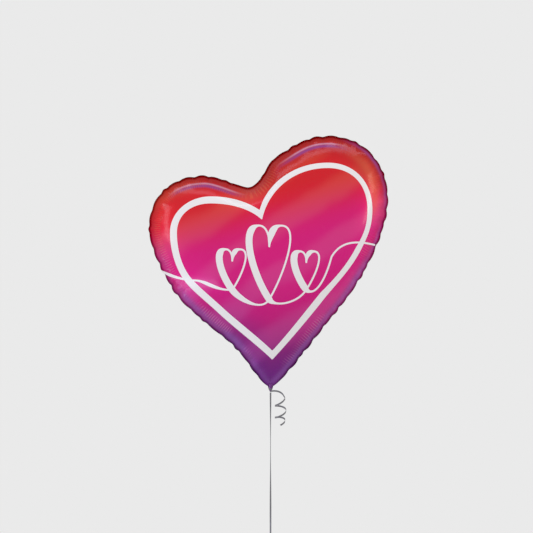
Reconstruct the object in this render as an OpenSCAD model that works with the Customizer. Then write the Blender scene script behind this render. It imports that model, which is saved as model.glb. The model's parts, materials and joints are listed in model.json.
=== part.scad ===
// Heart-shaped foil balloon with a gathered neck, a folded filling tail,
// an inner self-sealing valve, and a ribbon with one curled end and a hand loop.
// Frame: +Z up, the front faces -Y, the origin is the middle of the ribbon tie
// on the neck. Lengths are millimetres.

/* [Envelope] */
// Width of the inflated heart inside its flange
balloon_w = 707; // [600:1:800]
// Front-to-back depth of the inflated heart
balloon_depth = 240; // [180:5:300]
// Height of the heart's tip above the tie
tip_z = 8; // [7:1:14]
// Wall thickness of each foil panel, thicker than real film so that it is a sound solid
film = 0.4; // [0.3:0.1:0.6]
// Width of the heat-sealed flange outside the inflated part
seam_w = 5; // [3:1:8]

/* [Neck and tail] */
// Radius of the gathered neck
neck_r = 3.5; // [3:0.1:4]
// Length of the filling tail from the fold to its mouth
tail_len = 95; // [70:5:110]
// Width of the filling tail at its mouth
tail_w = 40; // [30:1:46]
// Gap between the two tail films at the mouth
mouth_gap = 12; // [10:0.5:14]
// Angle of the folded tail from the vertical, leaning back
tail_tilt = 42; // [40:1:50]

/* [Valve] */
// Width of the inner valve films
valve_w = 30; // [24:1:36]
// Height of the inner valve's open end above the tie
valve_top = 120; // [90:5:150]
// Width of the inner valve films where they enter the neck
valve_root_w = 5; // [4:0.5:6]

/* [Ribbon] */
// Width of the ribbon
ribbon_w = 5; // [4:0.5:5]
// Radius of the knot that hangs from the tie
knot_r = 3.6; // [3.2:0.1:3.8]
// Drop from the tie to the middle of the loop knot
tether_drop = 452; // [300:1:600]
// Inner radius of the hand loop
loop_r = 22; // [18:1:30]

/* [Hidden] */
$fn = 48;

// Outline of the inflated heart as [x, z]: the left side of the tip, then three
// control points for each cubic stretch, clockwise to the right side of the tip.
outline_ctrl = [
    [-5, 8],
    [-30, 14], [-62, 85], [-120, 140],
    [-165, 175], [-255, 245], [-285, 290],
    [-315, 335], [-360, 425], [-360, 475],
    [-360, 565], [-305, 632], [-195, 632],
    [-155, 632], [-92, 598], [-67, 598],
    [-30, 598], [-8, 672], [12, 685],
    [75, 725], [105, 750], [170, 750],
    [280, 750], [340, 672], [347, 580],
    [354, 487], [285, 343], [210, 250],
    [150, 180], [26, 9], [5, 8]];
outline_w = 707;
outline_tip = 8;
size_k = balloon_w / outline_w;
steps_per_stretch = 7;
stretches = (len(outline_ctrl) - 1) / 3;
// The point that every ray of the heart starts from
heart_mid = [0, tip_z + 372 * size_k];
// Rings of facets between the middle and the seam
rings = 12;
// Exponents of the dome from the middle to the seam
dome_a = 2.4;
dome_b = 0.62;
// Half depth gained for each millimetre above the tip, where the tip is narrow
tip_slope = 0.62;
// How sharply the dome gives way to that limit
blend = 3;
// The flange fades out over this distance from the tip
flange_fade = 60;

// Heights above the tip where the inner valve starts and where it is at full width
valve_start = 3;
valve_full = 36;

// Neck and fold
neck_flutes = 9;
flute_depth = 0.4;
fold_z = -4.5;
fold_r = 2;
tail_y = 7;
gap = 0.3;
tail_root_w = 8;
tail_seam = 2;
// Fraction of its length where the tail is at full width, and how its bow grows
tail_full = 0.8;
bow_power = 1.3;
tail_steps = 14;
tail_cells = 12;

// Ribbon
wrap_h = 5;
wrap_t = 1.1;
knot = [0, -9, -6];
loop_knot_r = 4;
loop_t = 0.6;
// Lead of the curled end, from the front of the knot to the top of the curl
lead_route = [
    [0, -12.9, -6], [0, -15, -5.8], [2, -18, -5], [7, -20, -4.2], [14, -20.5, -4.2],
    [22, -20, -5.5], [29, -20, -8.5], [33, -21, -11.5]];
curl_mid = [29, -30];
curl_r = 17.5;
curl_t = 0.5;
curl_top = -12;
curl_len = 92;

function bezier(a, b, c, d, t) =
    pow(1 - t, 3) * a + 3 * pow(1 - t, 2) * t * b + 3 * (1 - t) * t * t * c + pow(t, 3) * d;
function placed(p) = [p[0] * size_k, tip_z + (p[1] - outline_tip) * size_k];
function unit(v) = v / norm(v);
function smooth(t) = let(u = max(0, min(1, t))) u * u * (3 - 2 * u);

outline = [
    for (i = [0:stretches - 1], j = [0:steps_per_stretch - 1])
        placed(bezier(outline_ctrl[3 * i], outline_ctrl[3 * i + 1], outline_ctrl[3 * i + 2],
                      outline_ctrl[3 * i + 3], j / steps_per_stretch)),
    placed(outline_ctrl[3 * stretches])];
n = len(outline);

// Half depth of the balloon at s, the fraction of the way from the middle to the seam
function dome(s) = balloon_depth / 2 * pow(max(0, 1 - pow(s, dome_a)), dome_b);
function tip_limit(z) = tip_slope * max(0.01, z - tip_z);
function depth_at(s, z) =
    let(d = dome(s))
    d <= 0 ? 0 : pow(pow(d, -blend) + pow(tip_limit(z), -blend), -1 / blend);
function ring_s(k) = sin(90 * k / rings);
function ray(i, s) = heart_mid + s * (outline[i] - heart_mid);
function flange(i) =
    outline[i] + unit(outline[i] - heart_mid)
    * seam_w * smooth(norm(outline[i] - [0, tip_z]) / flange_fade);

// One foil panel: the domed sheet and its half of the flange, bulging to -Y
module foil_panel() {
    sheet = function(t) [
        [heart_mid[0], -depth_at(0, heart_mid[1]) - t, heart_mid[1]],
        for (k = [1:rings], i = [0:n - 1])
            let(p = ray(i, ring_s(k)))
            [p[0], -(k == rings ? 0 : depth_at(ring_s(k), p[1])) - t, p[1]],
        for (i = [0:n - 1]) let(p = flange(i)) [p[0], -t, p[1]]];
    m = 1 + (rings + 1) * n;
    at = function(k, i) 1 + (k - 1) * n + i % n;
    outer_faces = [
        for (i = [0:n - 1]) [0, at(1, i), at(1, i + 1)],
        for (k = [1:rings], i = [0:n - 1]) each [
            [at(k, i), at(k + 1, i), at(k + 1, i + 1)],
            [at(k, i), at(k + 1, i + 1), at(k, i + 1)]]];
    edge_faces = [
        for (i = [0:n - 1]) let(a = at(rings + 1, i), b = at(rings + 1, i + 1)) each [
            [a, m + a, m + b],
            [a, m + b, b]]];
    inner_faces = [for (f = outer_faces) [m + f[0], m + f[2], m + f[1]]];
    polyhedron(concat(sheet(film), sheet(0)), concat(outer_faces, inner_faces, edge_faces));
}

module front_panel() {
    color("crimson") foil_panel();
}

module back_panel() {
    color("mediumvioletred") mirror([0, 1, 0]) foil_panel();
}

// One film of the inner valve: a flat strip that narrows into the neck
module valve_film(y) {
    translate([0, y + film / 2, 0]) rotate([90, 0, 0]) linear_extrude(film)
        polygon([
            [-valve_root_w / 2, tip_z + valve_start], [valve_root_w / 2, tip_z + valve_start],
            [valve_w / 2, tip_z + valve_full], [valve_w / 2, valve_top],
            [-valve_w / 2, valve_top], [-valve_w / 2, tip_z + valve_full]]);
}

module valve_front_film() {
    color("gainsboro") valve_film(-film);
}

module valve_back_film() {
    color("lightgray") valve_film(film);
}

// Gathered foil under the tip, turned back at its lower end where the tail folds up
module neck() {
    color("purple") {
        translate([0, 0, fold_z - fold_r]) linear_extrude(tip_z - fold_z + fold_r)
            polygon([for (a = [0:5:355])
                (neck_r - flute_depth / 2 + flute_depth / 2 * cos(neck_flutes * a))
                * [cos(a), sin(a)]]);
        translate([0, 0, fold_z]) rotate([-90, 0, 0]) cylinder(r = fold_r, h = tail_y - gap);
    }
}

// Half width of the tail and the bow of each film at a fraction v of its length
function tail_half(v) = tail_root_w / 2 + (tail_w - tail_root_w) / 2 * smooth(v / tail_full);
function tail_bow(v) = mouth_gap / 2 * pow(v, bow_power);

// One film of the filling tail, bowed to the side that side = 1 or -1 names
module tail_film(side) {
    row = tail_cells + 1;
    point = function(a, b, t)
        let(v = a / tail_steps, half = tail_half(v), u = half * (2 * b / tail_cells - 1),
            bow = tail_bow(v) * max(0, 1 - pow(u / (half - tail_seam), 2)))
        [u, side * (bow + t), v * tail_len];
    sheet = function(t) [for (a = [0:tail_steps], b = [0:tail_cells]) point(a, b, t)];
    m = (tail_steps + 1) * row;
    top = [for (a = [0:tail_steps - 1], b = [0:tail_cells - 1])
        let(i = a * row + b) each [[i, i + row, i + row + 1], [i, i + row + 1, i + 1]]];
    rim = concat(
        [for (b = [0:tail_cells]) b],
        [for (a = [1:tail_steps]) a * row + tail_cells],
        [for (b = [tail_cells - 1:-1:0]) tail_steps * row + b],
        [for (a = [tail_steps - 1:-1:1]) a * row]);
    edge = [for (i = [0:len(rim) - 1]) let(a = rim[i], b = rim[(i + 1) % len(rim)])
        each [[a, b, m + b], [a, m + b, m + a]]];
    faces = concat(top, [for (f = top) [m + f[0], m + f[2], m + f[1]]], edge);
    translate([0, tail_y, fold_z]) rotate([-tail_tilt, 0, 0]) translate([0, 0, gap])
        polyhedron(concat(sheet(film), sheet(0)),
                   side < 0 ? faces : [for (f = faces) [f[0], f[2], f[1]]]);
}

module tail_front_film() {
    color("darkmagenta") tail_film(-1);
}

module tail_back_film() {
    color("orchid") tail_film(1);
}

// Turns of ribbon tied round the neck
module ribbon_wrap() {
    color("silver") rotate_extrude()
        translate([neck_r, -wrap_h / 2]) square([wrap_t, wrap_h]);
}

module ribbon_knot() {
    color("darkgray") translate(knot) sphere(r = knot_r);
}

// A tube of 8 sides swept along a list of points
module tube(route, r) {
    sides = 8;
    last = len(route) - 1;
    dir = function(i) unit(route[min(i + 1, last)] - route[max(i - 1, 0)]);
    side_of = function(d) unit(cross(d, abs(d[2]) > 0.9 ? [0, 1, 0] : [0, 0, 1]));
    ring = function(i)
        let(d = dir(i), a = side_of(d), b = cross(d, a))
        [for (k = [0:sides - 1]) route[i] + r * (cos(45 * k) * a + sin(45 * k) * b)];
    polyhedron(
        [for (i = [0:last]) each ring(i)],
        concat(
            [[for (k = [0:sides - 1]) k]],
            [for (i = [0:last - 1], k = [0:sides - 1]) let(j = (k + 1) % sides) each [
                [i * sides + k, (i + 1) * sides + k, (i + 1) * sides + j],
                [i * sides + k, (i + 1) * sides + j, i * sides + j]]],
            [[for (k = [sides - 1:-1:0]) last * sides + k]]));
}

module ribbon_tether() {
    top = knot[2] - knot_r - gap;
    bottom = loop_knot_r - tether_drop;
    steps = 20;
    color("silver") tube(
        [for (i = [0:steps]) [knot[0], knot[1], top + (bottom - top) * i / steps]], ribbon_w / 2);
}

module loop_knot() {
    color("darkgray") translate([knot[0], knot[1], -tether_drop]) sphere(r = loop_knot_r);
}

// Ring of ribbon that a hand or a weight's hook goes through
module hand_loop() {
    drop = tether_drop + loop_knot_r + gap + loop_t + loop_r;
    color("silver") translate([knot[0], knot[1], -drop]) rotate([90, 0, 0]) rotate_extrude($fn = 96)
        translate([loop_r, -ribbon_w / 2]) square([loop_t, ribbon_w]);
}

module ribbon_curl_lead() {
    color("silver") tube(lead_route, ribbon_w / 2);
}

// The outer shape of the curled end: one thin tube as wide as its turns
module ribbon_curl() {
    color("gainsboro") translate([curl_mid[0], curl_mid[1], curl_top - curl_len])
        rotate_extrude() translate([curl_r - curl_t, 0]) square([curl_t, curl_len]);
}

front_panel();
back_panel();
valve_front_film();
valve_back_film();
neck();
tail_front_film();
tail_back_film();
ribbon_wrap();
ribbon_knot();
ribbon_tether();
loop_knot();
hand_loop();
ribbon_curl_lead();
ribbon_curl();
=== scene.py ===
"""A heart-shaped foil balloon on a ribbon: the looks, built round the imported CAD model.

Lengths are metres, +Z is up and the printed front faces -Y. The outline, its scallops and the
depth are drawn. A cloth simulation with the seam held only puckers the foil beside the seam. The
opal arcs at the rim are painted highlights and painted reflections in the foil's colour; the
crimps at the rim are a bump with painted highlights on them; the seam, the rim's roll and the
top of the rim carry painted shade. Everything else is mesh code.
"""
import json
import math

import bpy
import numpy as np
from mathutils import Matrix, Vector
from mathutils.geometry import delaunay_2d_cdt


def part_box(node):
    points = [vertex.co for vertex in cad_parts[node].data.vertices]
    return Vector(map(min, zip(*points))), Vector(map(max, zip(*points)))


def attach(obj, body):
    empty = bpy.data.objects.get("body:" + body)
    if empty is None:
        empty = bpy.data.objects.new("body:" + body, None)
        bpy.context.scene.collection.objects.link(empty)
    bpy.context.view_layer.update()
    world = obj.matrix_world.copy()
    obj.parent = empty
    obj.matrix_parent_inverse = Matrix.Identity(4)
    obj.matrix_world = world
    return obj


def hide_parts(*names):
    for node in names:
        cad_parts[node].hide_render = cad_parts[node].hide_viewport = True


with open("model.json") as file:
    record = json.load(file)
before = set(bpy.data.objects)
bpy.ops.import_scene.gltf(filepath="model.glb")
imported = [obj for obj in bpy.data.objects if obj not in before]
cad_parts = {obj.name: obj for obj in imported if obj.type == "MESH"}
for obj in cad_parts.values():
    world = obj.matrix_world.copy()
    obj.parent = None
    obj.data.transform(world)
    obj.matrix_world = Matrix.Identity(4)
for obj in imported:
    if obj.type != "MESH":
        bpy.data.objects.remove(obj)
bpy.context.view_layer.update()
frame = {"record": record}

MM = 0.001


# ---------------------------------------------------------------- sizes from the frame

def node_box(node):
    """A CAD node's lowest and highest corners as two arrays, in metres."""
    low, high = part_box(node)
    return np.array(low), np.array(high)


def joint_pivot(name):
    """The point that a joint turns about."""
    rows = frame["record"]["behaviour"]["joints"]
    return np.array(next(row["pos_m"] for row in rows if row["name"] == name))


KNOT = joint_pivot("tether_swing_front")
LOOP_KNOT = joint_pivot("loop_swing")
TAIL_PIVOT = joint_pivot("tail_fold")
RIBBON_WIDTH = 5 * MM
RIBBON_THICK = 0.25 * MM

# Outline of the inflated heart as [x, z] in millimetres: the left side of the tip, then three
# control points for each cubic stretch, clockwise. It is the CAD model's own outline.
OUTLINE = [
    [-5, 8],
    [-30, 14], [-62, 85], [-120, 140],
    [-165, 175], [-255, 245], [-285, 290],
    [-315, 335], [-360, 425], [-360, 475],
    [-360, 565], [-305, 632], [-195, 632],
    [-155, 632], [-92, 598], [-67, 598],
    [-30, 598], [-8, 672], [12, 685],
    [75, 725], [105, 750], [170, 750],
    [280, 750], [340, 672], [347, 580],
    [354, 487], [285, 343], [210, 250],
    [150, 180], [26, 9], [5, 8]]
HEART_MID = np.array([0.0, 380.0])


# ---------------------------------------------------------------- curves in the plane

def bezier_points(control, steps):
    """Points along joined cubic stretches: a start point, then three control points each."""
    c = np.array(control, float)
    t = np.linspace(0, 1, steps, endpoint=False)[:, None]
    runs = []
    for i in range(0, len(c) - 1, 3):
        a, b, d, e = c[i:i + 4]
        runs.append((1 - t) ** 3 * a + 3 * (1 - t) ** 2 * t * b
                    + 3 * (1 - t) * t * t * d + t ** 3 * e)
    return np.concatenate(runs + [c[-1:]])


def resampled(points, step, closed=False):
    """The same line with points an even distance apart."""
    p = np.concatenate([points, points[:1]]) if closed else points
    run = np.r_[0, np.cumsum(np.linalg.norm(np.diff(p, axis=0), axis=1))]
    count = max(2, int(round(run[-1] / step)))
    at = np.linspace(0, run[-1], count + (not closed), endpoint=not closed)
    return np.stack([np.interp(at, run, p[:, k]) for k in range(p.shape[1])], 1)


def inside(points, polygon):
    """Which points lie inside a closed polygon."""
    x, y = points[:, 0], points[:, 1]
    found = np.zeros(len(points), bool)
    for (ax, ay), (bx, by) in zip(polygon, np.roll(polygon, 1, 0)):
        crosses = (ay > y) != (by > y)
        with np.errstate(divide="ignore", invalid="ignore"):
            at = (bx - ax) * (y - ay) / (by - ay) + ax
        found ^= crosses & (x < at)
    return found


def nearest_on(points, line, closed=False):
    """For each point: its distance from a line, the offset from the nearest place on it, and
    that place's distance along it."""
    ends = np.roll(line, -1, 0) if closed else line[1:]
    starts = line if closed else line[:-1]
    span = ends - starts
    length = np.linalg.norm(span, axis=1)
    run = np.r_[0, np.cumsum(length)]
    best = np.full(len(points), np.inf)
    offset = np.zeros((len(points), 2))
    along = np.zeros(len(points))
    for k in range(len(span)):
        rel = points - starts[k]
        t = np.clip(rel @ span[k] / max(length[k] ** 2, 1e-12), 0, 1)
        gap = rel - t[:, None] * span[k]
        d = np.einsum("ij,ij->i", gap, gap)
        closer = d < best
        best[closer] = d[closer]
        offset[closer] = gap[closer]
        along[closer] = run[k] + t[closer] * length[k]
    return np.sqrt(best), offset, along


def smooth_step(x, low=0.0, high=1.0):
    t = np.clip((np.asarray(x, float) - low) / (high - low), 0, 1)
    return t * t * (3 - 2 * t)


# ---------------------------------------------------------------- the inflated foil

SEAM_STEP = 6.0                          # mm between points on the seam
SEAM_ROWS = (5.5, 11.5, 18.5, 26.5, 36)  # mm in from the seam of the rows that follow it
LATTICE = 7.5                            # mm between points further in
SEAM_INSET = 3.0                         # mm from the outline in to the weld
FLANGE = 4.0                             # mm, the welded edge outside the seam
TIP = np.array([0.0, 8.0])
START_DEPTH = 236.0                      # mm front to back before the gas is let in
DOME_IN, DOME_OUT = 2.4, 0.62            # exponents of the dome from its middle to the seam
TIP_SLOPE = 0.62                         # half depth per mm above the tip, where it is narrow
FOIL_FRAMES = 26
CALM, CALM_ROUNDS = (5, 26), 25          # mm in from the seam over which the foil smooths out
SLACK = 0.12                             # share by which the foil by the seam is too long
SLACK_BAND = (8, 75)                     # mm in from the seam over which that runs out
WELD = 0.12 * MM                         # half the gap between the panels at the weld
CLOTH = {                                # the foil, and the gas that fills it
    "quality": 5, "mass": 0.3, "air_damping": 5, "pin_stiffness": 50,
    "tension_stiffness": 60, "compression_stiffness": 60, "shear_stiffness": 25,
    "bending_stiffness": 4.0, "tension_damping": 6, "compression_damping": 6,
    "shear_damping": 6, "use_pressure": True, "uniform_pressure_force": 3,
    "shrink_min": 0, "shrink_max": -SLACK}


def outward_normals(rim):
    along = np.roll(rim, -1, 0) - np.roll(rim, 1, 0)
    along /= np.linalg.norm(along, axis=1)[:, None]
    normal = np.stack([-along[:, 1], along[:, 0]], 1)
    return -normal if inside(rim + normal, rim).mean() > 0.5 else normal


def pucker_phase(run, total):
    """Which pucker each place on the seam is in, and how far through it, from 0 to 1."""
    notches, k = [0.0], 0
    while notches[-1] < total:
        notches.append(notches[-1] + 41 + 13 * math.sin(1.7 * k) + 9 * math.sin(3.9 * k + 1))
        k += 1
    notches = np.array(notches) * total / notches[-1]
    number = np.clip(np.searchsorted(notches, run, "right") - 1, 0, len(notches) - 2)
    return number, (run - notches[number]) / np.diff(notches)[number]


def seam_shape():
    """The smooth seam, the puckered one, the flange's edge, and the pucker's strength."""
    smooth = resampled(bezier_points(OUTLINE, 40), SEAM_STEP, closed=True)
    normal = outward_normals(smooth)
    run = np.arange(len(smooth)) * SEAM_STEP
    number, part = pucker_phase(run, len(smooth) * SEAM_STEP)
    tip_gap = np.linalg.norm(smooth - TIP, axis=1)
    cleft_gap = np.linalg.norm(smooth - [-60, 600], axis=1)
    strength = smooth_step(tip_gap, 15, 90) * (0.35 + 0.65 * smooth_step(cleft_gap, 30, 110))
    swell = 3.3 + 2.1 * np.sin(2.3 * number + 0.5)
    wave = strength * swell * (np.abs(np.sin(math.pi * part)) ** 0.8 - 0.6)
    seam = smooth + normal * (wave - SEAM_INSET * smooth_step(tip_gap, 5, 60))[:, None]
    edge = seam + normal * (FLANGE * smooth_step(tip_gap, 5, 60) + 0.3 * wave)[:, None]
    return smooth, seam, edge, strength, number, part


def panel_points(seam):
    """Points over one panel: rows that follow the seam, then an even lattice."""
    normal = outward_normals(seam)
    rows = []
    for k, gap in enumerate(SEAM_ROWS):
        base, n = seam, normal
        if k % 2 == 0:
            base = (seam + np.roll(seam, -1, 0)) / 2
            n = normal + np.roll(normal, -1, 0)
            n = n / np.linalg.norm(n, axis=1)[:, None]
        row = base - n * gap
        row = row[inside(row, seam)]
        rows.append(row[nearest_on(row, seam, True)[0] > 0.93 * gap])
    low, high = seam.min(0), seam.max(0)
    height = LATTICE * math.sqrt(3) / 2
    for k, z in enumerate(np.arange(low[1], high[1], height)):
        x = np.arange(low[0] + (k % 2) * LATTICE / 2, high[0], LATTICE)
        row = np.stack([x, np.full(len(x), z)], 1)
        row = row[inside(row, seam)]
        if len(row):
            rows.append(row[nearest_on(row, seam, True)[0] > SEAM_ROWS[-1] + 0.7 * LATTICE])
    return thinned(np.concatenate([seam] + rows), 0.58 * SEAM_STEP)


def thinned(points, least):
    """Leaves out each point that lies too near one before it."""
    cells, kept = {}, []
    for p in points:
        cx, cy = int(p[0] // least), int(p[1] // least)
        near = [q for a in (-1, 0, 1) for b in (-1, 0, 1) for q in cells.get((cx + a, cy + b), ())]
        if all((q[0] - p[0]) ** 2 + (q[1] - p[1]) ** 2 >= least * least for q in near):
            cells.setdefault((cx, cy), []).append(p)
            kept.append(p)
    return np.array(kept)


def triangulated(points, border):
    """Triangles over the points inside a border made of the first of them."""
    loop = [(i, (i + 1) % border) for i in range(border)]
    flat, _, faces, origin, _, _ = delaunay_2d_cdt([Vector(p) for p in points], loop, [], 1, 1e-6)
    back = np.array([o[0] for o in origin])
    faces = back[np.array([tuple(f) for f in faces])]
    a, b, c = (points[faces[:, k]] for k in range(3))
    turn = (b - a)[:, 0] * (c - a)[:, 1] - (b - a)[:, 1] * (c - a)[:, 0]
    faces[turn < 0] = faces[turn < 0][:, ::-1]
    return faces


def dome_height(points, rim):
    """Half depth of the smooth balloon over points in the plane, in mm."""
    rel = rim - HEART_MID
    turn, reach = np.arctan2(rel[:, 1], rel[:, 0]), np.linalg.norm(rel, axis=1)
    order = np.argsort(turn)
    turn, reach = turn[order], reach[order]
    turn = np.r_[turn[-1] - 2 * math.pi, turn, turn[0] + 2 * math.pi]
    reach = np.r_[reach[-1], reach, reach[0]]
    rel = points - HEART_MID
    s = np.linalg.norm(rel, axis=1) / np.interp(np.arctan2(rel[:, 1], rel[:, 0]), turn, reach)
    dome = START_DEPTH / 2 * np.maximum(1e-6, 1 - np.clip(s, 0, 1) ** DOME_IN) ** DOME_OUT
    limit = TIP_SLOPE * np.maximum(0.5, points[:, 1] - TIP[1])
    return (dome ** -3.0 + limit ** -3.0) ** (-1 / 3)


def relaxed(values, faces, weight, rounds):
    """Values pulled towards the mean of their neighbours, by each one's weight."""
    pairs = np.concatenate([faces[:, [0, 1]], faces[:, [1, 2]], faces[:, [2, 0]]])
    pairs = np.unique(np.concatenate([pairs, pairs[:, ::-1]]), axis=0)
    count = np.bincount(pairs[:, 0], minlength=len(values))
    for _ in range(rounds):
        mean = np.bincount(pairs[:, 0], values[pairs[:, 1]], minlength=len(values)) / count
        values = values + (mean - values) * weight
    return values


def new_mesh(name, vertices, faces):
    """A mesh object, in metres, linked to the scene."""
    mesh = bpy.data.meshes.new(name)
    mesh.from_pydata([tuple(map(float, v)) for v in vertices], [],
                     [tuple(int(i) for i in f) for f in faces])
    mesh.update()
    piece = bpy.data.objects.new(name, mesh)
    bpy.context.scene.collection.objects.link(piece)
    return piece


def with_modifiers_applied(piece):
    """Turns what a piece's modifiers make into its own mesh."""
    graph = bpy.context.evaluated_depsgraph_get()
    mesh = bpy.data.meshes.new_from_object(piece.evaluated_get(graph))
    piece.modifiers.clear()
    piece.vertex_groups.clear()
    piece.data = mesh
    return piece


def blown_up(vertices, faces, held, slack):
    """Runs the gas into the foil: a cloth simulation with pressure, the seam held still and the
    foil beside it cut a little too long, so that it puckers. Returns where the points end."""
    bag = new_mesh("bag", vertices, faces)
    for name, weight in (("held", held), ("slack", slack)):
        group = bag.vertex_groups.new(name=name)
        for i in np.nonzero(weight)[0]:
            group.add([int(i)], float(weight[i]), "REPLACE")
    cloth = bag.modifiers.new("gas", "CLOTH")
    s = cloth.settings
    for name, value in CLOTH.items():
        setattr(s, name, value)
    s.effector_weights.gravity = 0
    s.vertex_group_mass = "held"
    s.vertex_group_shrink = "slack"
    cloth.collision_settings.use_collision = False
    cloth.point_cache.frame_start = 1
    cloth.point_cache.frame_end = FOIL_FRAMES
    scene = bpy.context.scene
    for step in range(1, FOIL_FRAMES + 1):
        scene.frame_set(step)
    graph = bpy.context.evaluated_depsgraph_get()
    mesh = bag.evaluated_get(graph).to_mesh()
    out = np.zeros(len(mesh.vertices) * 3, np.float32)
    mesh.vertices.foreach_get("co", out)
    bpy.data.objects.remove(bag)
    scene.frame_set(1)
    return out.reshape(-1, 3).astype(float)


def make_foils():
    """The front and back panels, blown up together and then parted at the seam."""
    smooth, seam, edge, strength, number, part = seam_shape()
    flat = panel_points(seam)
    n, m = len(seam), len(flat)
    faces = triangulated(flat, n)
    gap, _, along = nearest_on(flat, seam, True)
    seam_run = along / along.max()
    height = relaxed(dome_height(flat, seam), faces, smooth_step(gap, 15, 60), 20)
    near = np.minimum((seam_run * n).astype(int), n - 1)
    crease = (1 - np.abs(np.sin(math.pi * part[near])) ** 0.6) * strength[near]
    height *= 1 - 0.45 * crease * np.exp(-gap / 12)
    height[:n] = 0
    twin = np.r_[np.arange(n), m + np.arange(m - n)]
    front = np.c_[flat[:, 0], -height, flat[:, 1]] * MM
    back = np.c_[flat[n:, 0], height[n:], flat[n:, 1]] * MM
    bag = np.concatenate([front, back])
    bag_faces = np.concatenate([faces, twin[faces][:, ::-1]])
    held = np.zeros(len(bag))
    held[:n] = 1
    slack = 1 - smooth_step(np.r_[gap, gap[n:]], *SLACK_BAND)
    bag = blown_up(bag, bag_faces, held, slack)
    calm = smooth_step(np.r_[gap, gap[n:]], *CALM)
    bag = np.stack([relaxed(bag[:, k], bag_faces, calm, CALM_ROUNDS) for k in range(3)], 1)
    rim = np.c_[edge[:, 0] * MM, np.zeros(n), edge[:, 1] * MM]
    ring = np.array([[i, (i + 1) % n, m + (i + 1) % n, m + i] for i in range(n)])
    pieces = []
    for name, side, points in (("front_foil", -1, bag[:m]), ("back_foil", 1, bag[twin])):
        points = np.concatenate([points, rim + [0, side * WELD, 0]])
        points[:n, 1] += side * WELD
        piece = new_mesh(name, points, [*faces, *ring])
        if side > 0:
            piece.data.flip_normals()
        crease_edges(piece, n)
        rounding = piece.modifiers.new("rounding", "SUBSURF")
        rounding.levels = rounding.render_levels = 1
        pieces.append(with_modifiers_applied(piece))
        piece.data.shade_smooth()
    return pieces, seam, smooth


def crease_edges(piece, n):
    """Keeps the fold at the seam sharp under subdivision."""
    mesh = piece.data
    ends = np.zeros(len(mesh.edges) * 2, np.int32)
    mesh.edges.foreach_get("vertices", ends)
    ends = ends.reshape(-1, 2)
    seam_edge = (ends < n).all(1) & (np.abs(ends[:, 0] - ends[:, 1]) % (n - 2) <= 1)
    values = mesh.attributes.new("crease_edge", "FLOAT", "EDGE")
    values.data.foreach_set("value", seam_edge.astype(np.float32) * 0.85)


def add_floats(piece, name, rows):
    """Stores a vector for each point of a mesh, for its material to read."""
    values = piece.data.attributes.new(name, "FLOAT_VECTOR", "POINT")
    rows = np.column_stack([rows, np.zeros((len(rows), 3 - rows.shape[1]))])
    values.data.foreach_set("vector", rows.astype(np.float32).ravel())


def mesh_points(piece):
    out = np.zeros(len(piece.data.vertices) * 3, np.float32)
    piece.data.vertices.foreach_get("co", out)
    return out.reshape(-1, 3).astype(float)


# ---------------------------------------------------------------- the print

# Both edges of the white heart line, [x, z] in millimetres, from the bottom tip clockwise.
HEART_OUTER = [
    [5, 89],
    [-30, 125], [-100, 178], [-148, 222],
    [-190, 262], [-225, 288], [-248, 315],
    [-280, 353], [-296, 415], [-296, 463],
    [-296, 525], [-240, 570], [-176, 570],
    [-110, 570], [-62, 550], [-32, 529],
    [-15, 600], [60, 669], [169, 669],
    [250, 669], [300, 610], [300, 532],
    [300, 480], [285, 450], [264, 409],
    [235, 355], [195, 315], [162, 275],
    [115, 215], [60, 150], [5, 89]]
HEART_INNER = [
    [5, 116],
    [-28, 150], [-90, 197], [-135, 238],
    [-175, 275], [-210, 303], [-231, 327],
    [-262, 362], [-275, 415], [-275, 463],
    [-275, 515], [-235, 549], [-176, 549],
    [-110, 549], [-55, 530], [-25, 500],
    [-10, 580], [60, 653], [169, 653],
    [240, 653], [285, 605], [285, 532],
    [285, 480], [272, 455], [250, 418],
    [222, 365], [185, 325], [147, 288],
    [100, 230], [50, 165], [5, 116]]
# The brush line across the heart: a stroke in from the left edge, three linked heart loops and
# a stroke out to the right edge. Each loop is its tip, half width and height.
LOOPS = (((-112, 296), 40, 118), ((-4, 268), 62, 215), ((104, 296), 38, 112))
STROKE_IN = [[-328, 352], [-300, 338], [-262, 324], [-222, 323], [-190, 323], [-160, 292]]
STROKE_OUT = [[132, 272], [162, 330], [178, 392], [206, 440], [252, 440], [308, 428]]
THIN, THICK = 2.7, 10.0                  # half widths of its upstrokes and downstrokes
STROKES = 4


def loop_halves(tip, half, tall):
    """A heart loop's right half, from its tip to its cleft, and its left half back down."""
    x, z = tip
    right = [[x + 0.62 * half, z + 0.3 * tall], [x + 1.5 * half, z + 0.98 * tall],
             [x + 0.62 * half, z + tall], [x + 0.25 * half, z + 1.01 * tall],
             [x + 0.03 * half, z + 0.92 * tall], [x, z + 0.72 * tall]]
    left = [[x + 0.02 * half, z + 0.9 * tall], [x - 0.2 * half, z + 1.02 * tall],
            [x - 0.55 * half, z + tall], [x - 1.4 * half, z + 0.96 * tall],
            [x - 0.75 * half, z + 0.32 * tall], [x, z]]
    return right, left


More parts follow.
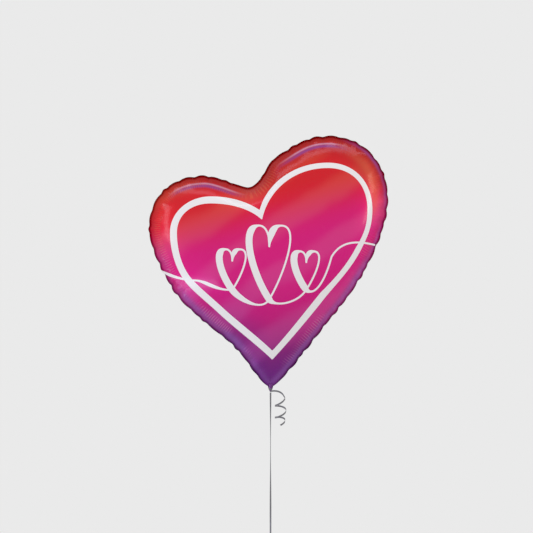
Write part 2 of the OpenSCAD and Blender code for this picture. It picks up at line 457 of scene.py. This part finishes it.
def brush_strokes():
    """The brush line in parts that don't cross themselves: each one's points and half widths."""
    halves = [loop_halves(*loop) for loop in LOOPS]
    tips = [list(loop[0]) for loop in LOOPS]
    parts = [STROKE_IN + [tips[0]] + halves[0][0]]
    for k in range(len(LOOPS) - 1):
        (ax, az), (bx, bz) = tips[k], tips[k + 1]
        cleft = halves[k][0][-1]
        link = [[ax + 16, az - 24], [bx - 24, bz - 40], [bx, bz]]
        parts.append([cleft] + halves[k][1] + link + halves[k + 1][0])
    parts.append([halves[-1][0][-1]] + halves[-1][1] + STROKE_OUT)
    out = []
    for part in parts:
        line = resampled(bezier_points(part, 24), 2.0)
        drop = -np.gradient(line[:, 1]) / np.linalg.norm(np.gradient(line, axis=0), axis=1)
        width = THIN + (THICK - THIN) * smooth_step(drop, 0.1, 0.85)
        kernel = np.hanning(15) / np.hanning(15).sum()
        width = np.convolve(np.pad(width, 7, "edge"), kernel, "valid")
        run = np.arange(len(line)) * 2.0
        taper = smooth_step(np.minimum(run, run[-1] - run), 0, 42)
        out.append((line, THIN + (width - THIN) * taper))
    return out


def signed_gap(points, curve):
    """Distance from a closed curve in mm, positive inside it."""
    gap = nearest_on(points, curve, True)[0]
    return np.where(inside(points, curve), gap, -gap)


def add_print_and_rim(piece, seam, smooth, strokes):
    """Stores what the foil's materials read, for the points as seen from straight ahead: the
    print's lines, and rim distances that also place the painted shade and painted highlights.
    """
    p = mesh_points(piece)[:, [0, 2]] / MM
    along = nearest_on(p, smooth, True)[2]
    add_floats(piece, "rim", np.stack([along, signed_gap(p, seam), signed_gap(p, smooth)], 1))
    outer = resampled(bezier_points(HEART_OUTER, 30), 3.0)
    inner = resampled(bezier_points(HEART_INNER, 30), 3.0)
    add_floats(piece, "heart_line", np.stack([signed_gap(p, outer), signed_gap(p, inner)], 1))
    for k, (line, width) in enumerate(strokes):
        gap, offset, along = nearest_on(p, line)
        half = np.interp(along, np.arange(len(width)) * 2.0, width)
        rows = offset / half[:, None]
        rows[gap > half + 8] *= 1e4
        add_floats(piece, f"stroke_{k + 1}", rows)


# ---------------------------------------------------------------- materials

class Shader:
    """A material's nodes, put together with plain calls."""

    def __init__(self, name):
        self.material = bpy.data.materials.new(name)
        self.material.use_nodes = True
        self.tree = self.material.node_tree
        self.surface = self.tree.nodes["Principled BSDF"]

    def node(self, kind, *values, **settings):
        made = self.tree.nodes.new(kind)
        for key, value in settings.items():
            setattr(made, key, value)
        for socket, value in zip(made.inputs, values):
            self.put(socket, value)
        return made

    def put(self, socket, value):
        if isinstance(value, bpy.types.NodeSocket):
            self.tree.links.new(value, socket)
        elif value is not None:
            socket.default_value = value

    def math(self, operation, *values):
        return self.node("ShaderNodeMath", *values, operation=operation).outputs[0]

    def vector(self, x, y, z=0.0):
        return self.node("ShaderNodeCombineXYZ", x, y, z).outputs[0]

    def split(self, vector):
        return self.node("ShaderNodeSeparateXYZ", vector).outputs

    def attribute(self, name):
        return self.node("ShaderNodeAttribute", attribute_name=name).outputs["Vector"]

    def place(self):
        return self.node("ShaderNodeTexCoord").outputs["Object"]

    def noise(self, vector, scale, detail=2.0, roughness=0.5):
        made = self.node("ShaderNodeTexNoise")
        self.put(made.inputs["Vector"], vector)
        made.inputs["Scale"].default_value = scale
        made.inputs["Detail"].default_value = detail
        made.inputs["Roughness"].default_value = roughness
        return made.outputs[0]

    def step(self, value, low, high):
        """0 below low, 1 above high and smooth between."""
        made = self.node("ShaderNodeMapRange", value, low, high, 0.0, 1.0,
                         interpolation_type="SMOOTHSTEP")
        return made.outputs[0]

    def ramp(self, value, stops):
        made = self.node("ShaderNodeValToRGB", value)
        made.color_ramp.interpolation = "B_SPLINE"
        elements = made.color_ramp.elements
        while len(elements) < len(stops):
            elements.new(1.0)
        for element, (at, colour) in zip(elements, stops):
            element.position = at
            element.color = rgb(*colour)
        return made.outputs[0]

    def mix(self, amount, a, b, kind="MIX"):
        made = self.node("ShaderNodeMix", data_type="RGBA", blend_type=kind)
        for key, value in (("Factor_Float", amount), ("A_Color", a), ("B_Color", b)):
            self.put(next(s for s in made.inputs if s.identifier == key), value)
        return next(s for s in made.outputs if s.identifier == "Result_Color")

    def bump(self, height, strength, distance, normal=None):
        made = self.node("ShaderNodeBump")
        made.inputs["Strength"].default_value = strength
        made.inputs["Distance"].default_value = distance
        self.put(made.inputs["Height"], height)
        if normal is not None:
            self.put(made.inputs["Normal"], normal)
        return made.outputs[0]

    def set(self, **values):
        for name, value in values.items():
            self.put(self.surface.inputs[name.replace("_", " ")], value)
        return self.material


def rgb(red, green, blue):
    """A colour given as on screen, 0 to 255, as the linear one that nodes take."""
    def linear(c):
        c /= 255
        return c / 12.92 if c <= 0.04045 else ((c + 0.055) / 1.055) ** 2.4
    return (linear(red), linear(green), linear(blue), 1.0)


TILT_TOP, TILT_LOW = 0.23, -0.2          # rise of the print's colour bands, per mm to the right
COLOURS = (                              # height in mm, then the colour there
    (30, (106, 24, 128)), (95, (128, 26, 122)), (155, (172, 22, 124)), (215, (203, 16, 125)),
    (330, (218, 12, 129)), (430, (219, 10, 124)), (475, (220, 12, 112)), (510, (220, 14, 88)),
    (545, (219, 16, 52)), (590, (215, 20, 32)), (740, (206, 18, 26)))
LIGHTER = (
    (30, (132, 50, 146)), (155, (188, 66, 146)), (330, (221, 62, 147)), (450, (221, 62, 132)),
    (510, (223, 66, 102)), (570, (223, 74, 58)), (640, (218, 74, 42)), (740, (214, 78, 46)))
# Colours of the painted highlights and painted reflections round the rim; salmon also paints crimp
# glints.
VIOLET, LILAC, SALMON = (128, 62, 140), (146, 88, 176), (226, 104, 70)
LAVENDER = (208, 158, 186)
# The first colour paints highlights on the crimps; the second darkens the top of the rim as
# painted shade.
PALE_LILAC, UPPER_RIM_PAINTED_SHADE = (228, 140, 190), (216, 92, 142)
PRINT_WHITE = (240, 238, 239)
BAND = 135.0                             # mm from one soft diagonal band to the next


def print_with_painted_light(s, strokes):
    """The gradient, its soft diagonal bands and the white print, with painted shade at the seam
    and round the rim and painted highlights along the rim, as one colour socket.
    """
    x, _, z = s.split(s.place())
    x, z = s.math("MULTIPLY", x, 1000.0), s.math("MULTIPLY", z, 1000.0)
    low = s.math("SUBTRACT", 1.0, s.step(z, 110.0, 330.0))
    drop = s.math("MULTIPLY", s.math("MULTIPLY", s.math("ABSOLUTE", x), 0.42), low)
    tilt = s.math("ADD", TILT_LOW, s.math("MULTIPLY", s.step(z, 200.0, 480.0),
                                          TILT_TOP - TILT_LOW))
    height = s.math("SUBTRACT", s.math("SUBTRACT", z, s.math("MULTIPLY", x, tilt)), drop)
    scaled = s.math("DIVIDE", height, 800.0)
    base = s.ramp(scaled, [(at / 800, c) for at, c in COLOURS])
    light = s.ramp(scaled, [(at / 800, c) for at, c in LIGHTER])
    across = s.math("SUBTRACT", s.math("MULTIPLY", z, 0.82), s.math("MULTIPLY", x, 0.57))
    wander = s.noise(s.place(), 4.0)
    turn = s.math("ADD", s.math("MULTIPLY", across, 2 * math.pi / BAND),
                  s.math("MULTIPLY", wander, 5.0))
    band = s.step(s.math("SINE", turn), -0.7, 1.0)
    colour = s.mix(s.math("MULTIPLY", band, 0.62), base, light)
    along, gap, depth = s.split(s.attribute("rim"))
    # Painted shade along the seam: the flange and the foil darkened from 3 mm outside the seam to
    # 8 mm in.
    edge = s.math("SUBTRACT", 1.0, s.step(gap, -3.0, 8.0))
    colour = s.mix(s.math("MULTIPLY", edge, 0.8), colour, rgb(130, 90, 120), "MULTIPLY")
    # Painted shade on the rim's roll: darker within 30 mm of the smooth outline.
    shade = s.math("SUBTRACT", 1.0, s.step(depth, 8.0, 30.0))
    colour = s.mix(s.math("MULTIPLY", shade, 0.4), colour, rgb(196, 96, 150), "MULTIPLY")
    # Painted shade at the top of the rim: the lobes' tops darkened within 84 mm of the smooth
    # outline.
    upper_rim_shade = s.math("MULTIPLY", s.step(z, 540.0, 640.0),
                   s.math("SUBTRACT", 1.0, s.step(depth, 34.0, 84.0)))
    colour = s.mix(s.math("MULTIPLY", upper_rim_shade, 0.9), colour, rgb(*UPPER_RIM_PAINTED_SHADE), "MULTIPLY")
    # Painted highlights and painted reflections: bands of colour that follow the rim.
    for tone, middle, spread, most, where in painted_rim_highlights(s, x, z):
        off = s.math("DIVIDE", s.math("SUBTRACT", depth, middle), spread)
        glow = s.math("EXPONENT", s.math("MULTIPLY", s.math("MULTIPLY", off, off), -1.0))
        colour = s.mix(s.math("MULTIPLY", s.math("MULTIPLY", glow, most), where), colour,
                       rgb(*tone))
    # Painted highlights on the crimps: pale lilac low on the heart and salmon high up, where the
    # crimp bump runs.
    pale = s.mix(s.step(z, 300.0, 480.0), rgb(*PALE_LILAC), rgb(*SALMON))
    colour = s.mix(s.math("MULTIPLY", crimps(s, along, depth), 0.34), colour, pale)
    outer, inner, _ = s.split(s.attribute("heart_line"))
    white = s.math("MULTIPLY", s.math("GREATER_THAN", outer, 0.0),
                   s.math("LESS_THAN", inner, 0.0))
    for k in range(strokes):
        length = s.node("ShaderNodeVectorMath", s.attribute(f"stroke_{k + 1}"),
                        operation="LENGTH").outputs["Value"]
        white = s.math("MAXIMUM", white, s.math("LESS_THAN", length, 1.0))
    return s.mix(white, colour, rgb(*PRINT_WHITE)), white


def painted_rim_highlights(s, x, z):
    """Painted highlights and painted reflections round the rim, laid into the foil's colour: each
    band's colour, how far it runs in from the seam and how wide it is in mm, how strong it is,
    and a mask for the part of the rim."""
    def between(value, start, end, soft):
        return s.math("MULTIPLY", s.step(value, start, start + soft),
                      s.math("SUBTRACT", 1.0, s.step(value, end - soft, end)))

    left = s.math("SUBTRACT", 1.0, s.step(x, -80.0, 40.0))
    right = s.step(x, 190.0, 300.0)
    high = s.step(z, 540.0, 600.0)
    low = s.math("SUBTRACT", 1.0, s.step(z, 330.0, 430.0))
    tops = s.math("ADD", between(x, -320.0, -60.0, 70.0), between(x, 0.0, 250.0, 90.0))
    lobes = s.math("MULTIPLY", high, tops)
    patch = s.step(s.noise(s.place(), 9.0), 0.3, 0.62)
    return (
        (VIOLET, 30.0, 5.0, 0.8, lobes),
        (LAVENDER, 23.0, 2.6, 0.7, lobes),
        (LILAC, 14.0, 12.0, 0.55, s.math("MULTIPLY", s.math("MULTIPLY", low, left), patch)),
        (LILAC, 12.0, 9.0, 0.5, s.math("MULTIPLY", low, s.math("SUBTRACT", 1.0, left))),
        (SALMON, 40.0, 16.0, 0.5, s.math("MULTIPLY", s.step(z, 470.0, 560.0), right)),
        (LILAC, 8.0, 5.0, 0.45, s.math("MULTIPLY", right, patch)))


def crimps(s, along, depth):
    """Rows of fine short creases across the rim, in patches, from 0 to 1."""
    turn = s.math("ADD", s.math("MULTIPLY", along, 2 * math.pi / 7.5),
                  s.math("MULTIPLY", s.noise(s.place(), 11.0), 14.0))
    lines = s.step(s.math("SINE", turn), 0.0, 0.9)
    row = s.math("MULTIPLY", s.step(depth, 12.0, 20.0),
                 s.math("SUBTRACT", 1.0, s.step(depth, 30.0, 40.0)))
    patch = s.step(s.noise(s.place(), 6.0), 0.47, 0.6)
    return s.math("MULTIPLY", s.math("MULTIPLY", lines, row), patch)


def foil_bump(s):
    """Fine creases that run in from the seam, as one normal socket."""
    along, gap, depth = s.split(s.attribute("rim"))
    fan = s.vector(s.math("DIVIDE", along, 9.0), s.math("DIVIDE", gap, 46.0))
    creases = s.noise(fan, 1.0, 3.0, 0.6)
    fade = s.math("SUBTRACT", 1.0, s.step(gap, 8.0, 46.0))
    height = s.math("MULTIPLY", creases, fade)
    return s.bump(s.math("MULTIPLY", crimps(s, along, depth), 0.3), 0.6, 4 * MM,
                  s.bump(height, 0.7, 5 * MM))


def foil_material(name, strokes):
    s = Shader(name)
    colour, white = print_with_painted_light(s, strokes)
    gap = s.split(s.attribute("rim"))[1]
    body = s.step(gap, 0.0, 14.0)
    gloss = s.math("MULTIPLY", s.math("SUBTRACT", 0.3, s.math("MULTIPLY", white, 0.22)), body)
    return s.set(Base_Color=colour, Normal=foil_bump(s), Metallic=gloss, Roughness=0.34,
                 Specular_IOR_Level=0.0,
                 Coat_Weight=s.math("MULTIPLY", body, 0.5), Coat_Roughness=0.12)


def plain_foil(name, colour, metallic=0.6, crinkle=0.35):
    s = Shader(name)
    height = s.noise(s.place(), 420.0, 3.0, 0.6)
    return s.set(Base_Color=rgb(*colour), Metallic=metallic, Roughness=0.3,
                 Coat_Weight=0.3, Coat_Roughness=0.15, Normal=s.bump(height, crinkle, 0.6 * MM))


def film_material():
    s = Shader("valve_film")
    return s.set(Base_Color=rgb(232, 236, 238), Roughness=0.25, Alpha=0.45)


def ribbon_material():
    s = Shader("ribbon")
    across = s.split(s.attribute("ribbon_coords"))[0]
    ribs = s.math("SINE", s.math("MULTIPLY", across, 22.0))
    # Painted shade on the ribs: their tops painted lighter and their furrows darker, following the
    # bump.
    shade = s.step(ribs, -1.0, 1.0)
    colour = s.mix(shade, rgb(104, 104, 108), rgb(140, 140, 144))
    return s.set(Base_Color=colour, Metallic=0.5, Roughness=0.3,
                 Normal=s.bump(ribs, 0.4, 0.15 * MM))


# ---------------------------------------------------------------- ribbons and knots

def tube_faces(count, size, closed=False):
    """Faces of a tube of `count` rings with `size` points each."""
    last = count if closed else count - 1
    faces = [[i * size + j, i * size + (j + 1) % size,
              (i + 1) % count * size + (j + 1) % size, (i + 1) % count * size + j]
             for i in range(last) for j in range(size)]
    if not closed:
        faces += [list(range(size))[::-1], list(range((count - 1) * size, count * size))]
    return faces


def unit(rows):
    return rows / np.maximum(np.linalg.norm(rows, axis=-1, keepdims=True), 1e-12)


def curve_through(points, steps=16):
    """A smooth line through points (Catmull-Rom)."""
    p = np.array(points, float)
    p = np.concatenate([[2 * p[0] - p[1]], p, [2 * p[-1] - p[-2]]])
    t = np.linspace(0, 1, steps, endpoint=False)[:, None]
    runs = [0.5 * (2 * b + (c - a) * t + (2 * a - 5 * b + 4 * c - d) * t ** 2
                   + (3 * b - a - 3 * c + d) * t ** 3)
            for a, b, c, d in zip(p, p[1:], p[2:], p[3:])]
    return np.concatenate(runs + [p[-2:-1]])


def ribbon_strip(name, path, wide, width=RIBBON_WIDTH, cup=0.0, closed=False):
    """A flat ribbon along a path; `wide` holds the way its width points at each place."""
    along = unit(np.gradient(path, axis=0))
    if closed:
        along = unit(np.roll(path, -1, 0) - np.roll(path, 1, 0))
    wide = unit(wide - along * np.sum(wide * along, 1)[:, None])
    face = np.cross(along, wide)
    u = np.linspace(-1, 1, 7)
    section = [(a, 0.5) for a in u] + [(a, -0.5) for a in u[::-1]]
    rings, ribbon_coords = [], []
    run = np.r_[0, np.cumsum(np.linalg.norm(np.diff(path, axis=0), axis=1))]
    for a, b in section:
        lift = b * RIBBON_THICK + cup * (1 - a * a)
        rings.append(path + wide * a * width / 2 + face * lift)
        ribbon_coords.append(np.stack([np.full(len(path), a), run], 1))
    points = np.stack(rings, 1).reshape(-1, 3)
    piece = new_mesh(name, points, tube_faces(len(path), len(section), closed))
    add_floats(piece, "ribbon_coords", np.stack(ribbon_coords, 1).reshape(-1, 2))
    piece.data.shade_smooth()
    piece.data.set_sharp_from_angle(angle=math.radians(50))
    return piece


def pleated_tube(name, path, radii, sides, pleats, depth):
    """A tube along a path, with pleats that run along it."""
    along = unit(np.gradient(path, axis=0))
    guide = np.array([1.0, 0.13, 0.07])
    normal = unit(guide - along * (along @ guide)[:, None])
    other = np.cross(along, normal)
    turn = np.linspace(0, 2 * math.pi, sides, endpoint=False)
    rings = []
    for a in turn:
        r = radii * (1 + depth * math.cos(pleats * a))
        rings.append(path + (normal * math.cos(a) + other * math.sin(a)) * r[:, None])
    points = np.stack(rings, 1).reshape(-1, 3)
    piece = new_mesh(name, points, tube_faces(len(path), sides))
    piece.data.shade_smooth()
    return piece


def overhand(name, middle, size):
    """A small ribbon knot: a flattened overhand turn pulled tight."""
    t = np.linspace(0, 2 * math.pi, 96, endpoint=False)
    path = np.stack([np.sin(t) + 2 * np.sin(2 * t), -1.2 * np.sin(3 * t),
                     np.cos(t) - 2 * np.cos(2 * t)], 1) / 3
    path = path * (0.66 * size) * [0.9, 0.75, 1.0] + middle
    wide = np.cross(unit(np.roll(path, -1, 0) - np.roll(path, 1, 0)), unit(path - middle))
    return ribbon_strip(name, path, wide, width=0.85 * size, cup=0.12 * size, closed=True)


def tether_path():
    top = KNOT + [0, 0, -3.9 * MM]
    bottom = LOOP_KNOT + [0, 0, 4 * MM]
    t = np.linspace(0, 1, 180)[:, None]
    return top + (bottom - top) * t


def curl_path():
    """The curled end: out of the knot to the right, then a little over two hanging turns."""
    lead = [[0, -12.9, -6], [0, -15, -5.8], [2, -18, -5], [7, -20, -4.2], [14, -20.5, -4.2],
            [22, -20, -5.5], [29, -20, -8.5], [36, -22.5, -14]]
    turns = []
    for t in np.arange(0.05, 2.26, 0.05):
        r = 17 - 3 * (t - 1) ** 2
        turns.append([29 + r * math.cos(2 * math.pi * t), -30 - r * math.sin(2 * math.pi * t),
                      -21 - 45 * t + 5 * t * t - 2.5 * (1 - math.cos(2 * math.pi * t))
                      - 4.5 * math.sin(2 * math.pi * t)])
    return resampled(curve_through(lead + turns) * MM, 1.4 * MM)


def make_ribbons():
    """The tether with its knot and hand loop, and the curled end; cords are made first."""
    path = tether_path()
    twist = 0.35 + 0.9 * np.sin(np.linspace(0, 4.3, len(path)))
    wide = np.stack([np.cos(twist), np.sin(twist), np.zeros(len(path))], 1)
    tether = ribbon_strip("tether_ribbon", path, wide)
    curl_line = curl_path()
    curl = ribbon_strip("curl_ribbon", curl_line, np.tile([0.0, 0.0, 1.0], (len(curl_line), 1)))
    loop_low, loop_high = node_box("hand_loop")
    middle = (loop_low + loop_high) / 2
    radius = (loop_high - loop_low)[0] / 2 - 0.3 * MM
    a = np.linspace(0, 2 * math.pi, 120, endpoint=False)
    pull = 1 + 0.035 * np.cos(a) ** 9
    ring = middle + np.stack([np.sin(a) * radius, 0 * a, np.cos(a) * radius * pull], 1)
    loop = ribbon_strip("hand_loop_ribbon", ring, np.tile([0.0, 1.0, 0.0], (len(a), 1)),
                        closed=True)
    tie = overhand("tie_knot", KNOT, 3.6 * MM)
    end_knot = overhand("loop_knot_ribbon", LOOP_KNOT, 4.2 * MM)
    for piece, body, *nodes in (
            (tether, "tether", "ribbon_tether"),
            (loop, "loop", "hand_loop"),
            (end_knot, "tether", "loop_knot"),
            (tie, "knot", "ribbon_knot"),
            (curl, "curl", "ribbon_curl_lead", "ribbon_curl")):
        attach(piece, body)
        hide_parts(*nodes)
    return [tether, curl, loop, end_knot, tie]


# ---------------------------------------------------------------- neck, wrap and tail

def make_neck():
    line = curve_through(np.array([[0, 0, 16], [0, 0, 9], [0, 0, 3], [0, 0, -1.5], [0, 1.3, -4.4],
                                   [0, 3.6, -5.0], [0, 6.1, -4.5]]) * MM, 6)
    at = np.linspace(0, 1, len(line))
    radii = np.interp(at, [0, 0.22, 0.42, 0.58, 0.75, 1], [6.0, 4.4, 3.4, 3.3, 2.9, 1.7]) * MM
    return pleated_tube("neck_gathers", line, radii, sides=54, pleats=9, depth=0.1)


def make_wrap():
    """Three turns of ribbon drawn tight round the neck."""
    t = np.linspace(0, 3 * 2 * math.pi, 200)
    r = (4.15 + 0.12 * np.sin(t * 0.61)) * MM
    line = np.stack([np.sin(t) * r, -np.cos(t) * r, np.linspace(-1.2, 1.2, len(t)) * MM], 1)
    return ribbon_strip("tie_wrap", line, np.tile([0.0, 0.0, 1.0], (len(t), 1)),
                        width=2.4 * MM, cup=0.2 * MM)


def make_tail():
    """The filling tail's two films: gathered at the neck, open at the mouth."""
    across = np.linspace(-1, 1, 61)
    down = np.linspace(0, 1, 50)
    length, lean = 95 * MM, math.radians(42)
    out = np.array([0, math.sin(lean), math.cos(lean)])
    face = np.array([0, -math.cos(lean), math.sin(lean)])
    pieces = []
    for name, side in (("tail_front", 1), ("tail_back", -1)):
        rings = []
        for s in down:
            half = (4 + 16 * s ** 0.8) * MM
            bow = 6 * MM * s ** 1.3
            u = across
            pleat = (0.55 * np.cos(9 * math.pi * u / 2) * (1 - s) + 0.25 * np.cos(
                5 * u + 9 * s)) * (1 - u ** 4) * MM
            lift = side * (0.2 * MM + bow * (1 - np.abs(u) ** 2.2) ** 0.8) + pleat * 0.6
            row = (TAIL_PIVOT + out * (0.3 * MM + length * s))[None] + np.outer(lift, face)
            row[:, 0] += u * half
            rings.append(row)
        outer = np.stack(rings)
        inner = outer - side * 0.12 * MM * face
        n, m = len(across), len(down)
        points = np.concatenate([outer.reshape(-1, 3), inner.reshape(-1, 3)])
        quads = [[i * n + j, i * n + j + 1, (i + 1) * n + j + 1, (i + 1) * n + j]
                 for i in range(m - 1) for j in range(n - 1)]
        rim = ([j for j in range(n)] + [i * n + n - 1 for i in range(1, m)]
               + [(m - 1) * n + j for j in range(n - 2, -1, -1)]
               + [i * n for i in range(m - 2, 0, -1)])
        walls = [[a, b, b + n * m, a + n * m] for a, b in zip(rim, rim[1:] + rim[:1])]
        faces = [q[::-1] for q in quads] + [[k + n * m for k in q] for q in quads] + walls
        if side < 0:
            faces = [f[::-1] for f in faces]
        piece = new_mesh(name, points, faces)
        piece.data.shade_smooth()
        piece.data.set_sharp_from_angle(angle=math.radians(60))
        pieces.append(piece)
    return pieces


# ---------------------------------------------------------------- camera, light and floor

def make_camera():
    camera = bpy.data.objects.new("camera", bpy.data.cameras.new("camera"))
    bpy.context.scene.collection.objects.link(camera)
    camera.location = (-0.012, -6, 0.364)
    camera.rotation_euler = (math.pi / 2, 0, 0)
    camera.data.lens = 136.5
    bpy.context.scene.camera = camera


def soft_light(name, place, target, size, power, colour):
    data = bpy.data.lights.new(name, "AREA")
    data.shape = "RECTANGLE"
    data.size, data.size_y = size
    data.energy = power
    data.color = colour
    light = bpy.data.objects.new(name, data)
    bpy.context.scene.collection.objects.link(light)
    light.location = place
    aim = Vector(target) - Vector(place)
    light.rotation_euler = aim.to_track_quat("-Z", "Y").to_euler()


def make_surroundings():
    world = bpy.data.worlds.new("pale")
    world.use_nodes = True
    world.node_tree.nodes["Background"].inputs["Color"].default_value = rgb(234, 234, 234)
    bpy.context.scene.world = world
    soft_light("top", (0.0, -0.6, 2.6), (0, 0, 0.6), (4.4, 0.2), 8, (0.85, 0.8, 1.0))
    soft_light("left", (-2.3, -0.8, 0.9), (0, 0, 0.4), (0.16, 1.8), 4, (1.0, 0.85, 0.95))
    soft_light("right", (2.3, -0.8, 0.9), (0, 0, 0.4), (0.16, 1.6), 4, (1.0, 0.78, 0.66))
    soft_light("low", (-1.5, -0.7, -0.6), (0, 0, 0.3), (2.0, 0.2), 4, (0.7, 0.75, 1.0))
    a = np.linspace(0, 2 * math.pi, 96, endpoint=False)
    disc = np.stack([3 * np.cos(a), 3 * np.sin(a), 0 * a - 0.9], 1)
    floor = new_mesh("floor", disc, [list(range(len(a)))])
    s = Shader("floor")
    floor.data.materials.append(s.set(Base_Color=rgb(226, 226, 226), Roughness=0.6))


# ---------------------------------------------------------------- all together

make_camera()
ribbons = make_ribbons()
foils, seam, smooth = make_foils()
strokes = brush_strokes()
add_print_and_rim(foils[0], seam, smooth, strokes)
add_print_and_rim(foils[1], seam, smooth, [])
foils[0].data.materials.append(foil_material("foil_front", STROKES))
foils[1].data.materials.append(foil_material("foil_back", 0))
neck, wrap, tails = make_neck(), make_wrap(), make_tail()
neck.data.materials.append(plain_foil("foil_neck", (112, 44, 128)))
tail_foil = plain_foil("foil_tail", (118, 46, 130))
for piece in tails:
    piece.data.materials.append(tail_foil)
satin = ribbon_material()
for piece in [*ribbons, wrap]:
    piece.data.materials.append(satin)
film = film_material()
for node in ("valve_front_film", "valve_back_film"):
    piece = bpy.data.objects[node]
    piece.data.materials.clear()
    piece.data.materials.append(film)
for piece, body, node in (
        (foils[0], "balloon", "front_panel"),
        (foils[1], "balloon", "back_panel"),
        (neck, "balloon", "neck"),
        (wrap, "balloon", "ribbon_wrap"),
        (tails[0], "tail", "tail_front_film"),
        (tails[1], "tail", "tail_back_film")):
    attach(piece, body)
    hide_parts(node)
make_surroundings()
bpy.context.scene.view_settings.view_transform = "Standard"
